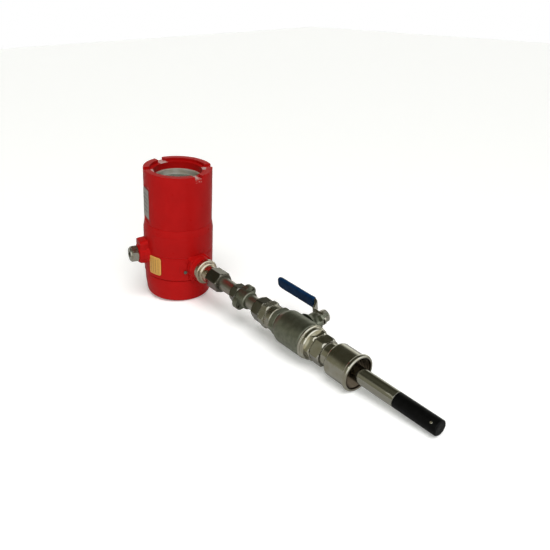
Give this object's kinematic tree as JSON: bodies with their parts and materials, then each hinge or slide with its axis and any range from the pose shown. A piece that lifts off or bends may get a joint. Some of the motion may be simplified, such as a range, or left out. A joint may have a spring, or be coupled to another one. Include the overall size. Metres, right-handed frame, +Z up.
{
  "type": "insertion thermal mass flow meter",
  "caption": "Red cylindrical instrument housing with a window cover, on a long steel insertion probe with packing gland, ball valve, pipe coupling and capped sensor tip.",
  "frame": {"origin": "centre of the flat foot of the housing's bottom cap", "axes": "+Z up along the housing, +X along the insertion probe toward its tip, conduit entry toward -Y"},
  "size_m": [0.5354, 0.1331, 0.1895],
  "materials": {
    "red_paint": "cast aluminium under satin red enamel",
    "stainless": "machined and cast stainless steel, satin",
    "bright_steel": "turned or polished stainless steel, bright",
    "black_cap": "black moulded plastic, slightly rough",
    "blue_vinyl": "dipped blue vinyl",
    "label_yellow": "blank golden-yellow label",
    "seal_rubber": "black nitrile rubber",
    "seal_white": "white fluoropolymer seal",
    "glass": "clear toughened glass",
    "board_green": "green circuit board",
    "dark_plastic": "dark moulded plastic"
  },
  "bodies": {
    "housing": {"housing_body": "red_paint", "cover_o_ring": "seal_rubber", "label_plate": "label_yellow", "ground_screw": "bright_steel", "electronics_chassis": "bright_steel", "main_board": "board_green", "display_module": "dark_plastic", "terminal_block": "dark_plastic", "port_collar": "bright_steel", "clamp_bushing": "stainless", "probe_clamp": "stainless", "probe_tube": "stainless", "sensor_holder": "bright_steel", "heated_pin": "bright_steel", "reference_pin": "bright_steel"},
    "cover": {"window_cover": "red_paint", "window_gasket": "seal_rubber", "window_glass": "glass", "window_ring": "bright_steel", "nameplate": "bright_steel"},
    "cap": {"bottom_cap": "red_paint", "bottom_o_ring": "seal_rubber"},
    "plug": {"conduit_plug": "stainless"},
    "probe_nut": {"compression_nut": "stainless"},
    "valve": {"gland_body": "bright_steel", "packing_ring": "seal_white", "gland_follower": "stainless", "valve_body": "stainless", "seat_front": "seal_white", "seat_rear": "seal_white", "valve_ball": "bright_steel", "stem_packing": "seal_white", "packing_nut": "stainless", "valve_end_cap": "stainless", "hex_nipple": "bright_steel", "process_coupling": "bright_steel"},
    "packing_gland_nut": {"gland_nut": "stainless"},
    "valve_lever": {"valve_stem": "bright_steel", "lever": "bright_steel", "lever_grip": "blue_vinyl", "spring_washer": "bright_steel", "lever_nut": "bright_steel"},
    "sensor_cap": {"tip_cap": "black_cap", "tip_dot": "bright_steel"}
  },
  "joints": [
    {"name": "cover_turn", "type": "hinge", "parent": "housing", "child": "cover", "pos_m": [0, 0, 0.112], "axis": [0, 0, 1], "continuous": true},
    {"name": "cap_turn", "type": "hinge", "parent": "housing", "child": "cap", "pos_m": [0, 0, 0], "axis": [0, 0, 1], "continuous": true},
    {"name": "plug_turn", "type": "hinge", "parent": "housing", "child": "plug", "pos_m": [0, 0, 0.066], "axis": [-0.2419, -0.9703, 0], "continuous": true},
    {"name": "probe_nut_turn", "type": "hinge", "parent": "housing", "child": "probe_nut", "pos_m": [0.1, 0, 0.056], "axis": [1, 0, 0], "continuous": true},
    {"name": "valve_slide", "type": "slide", "parent": "housing", "child": "valve", "axis": [1, 0, 0], "range_m": [-0.019, 0.205]},
    {"name": "gland_nut_turn", "type": "hinge", "parent": "valve", "child": "packing_gland_nut", "pos_m": [0.2, 0, 0.056], "axis": [1, 0, 0], "continuous": true},
    {"name": "lever_turn", "type": "hinge", "parent": "valve", "child": "valve_lever", "pos_m": [0.264, 0, 0.056], "axis": [0, 0.9848, 0.1736], "range_deg": [0, 90]},
    {"name": "tip_cap_pull", "type": "slide", "parent": "housing", "child": "sensor_cap", "axis": [1, 0, 0], "range_m": [0, 0.06]}
  ]
}
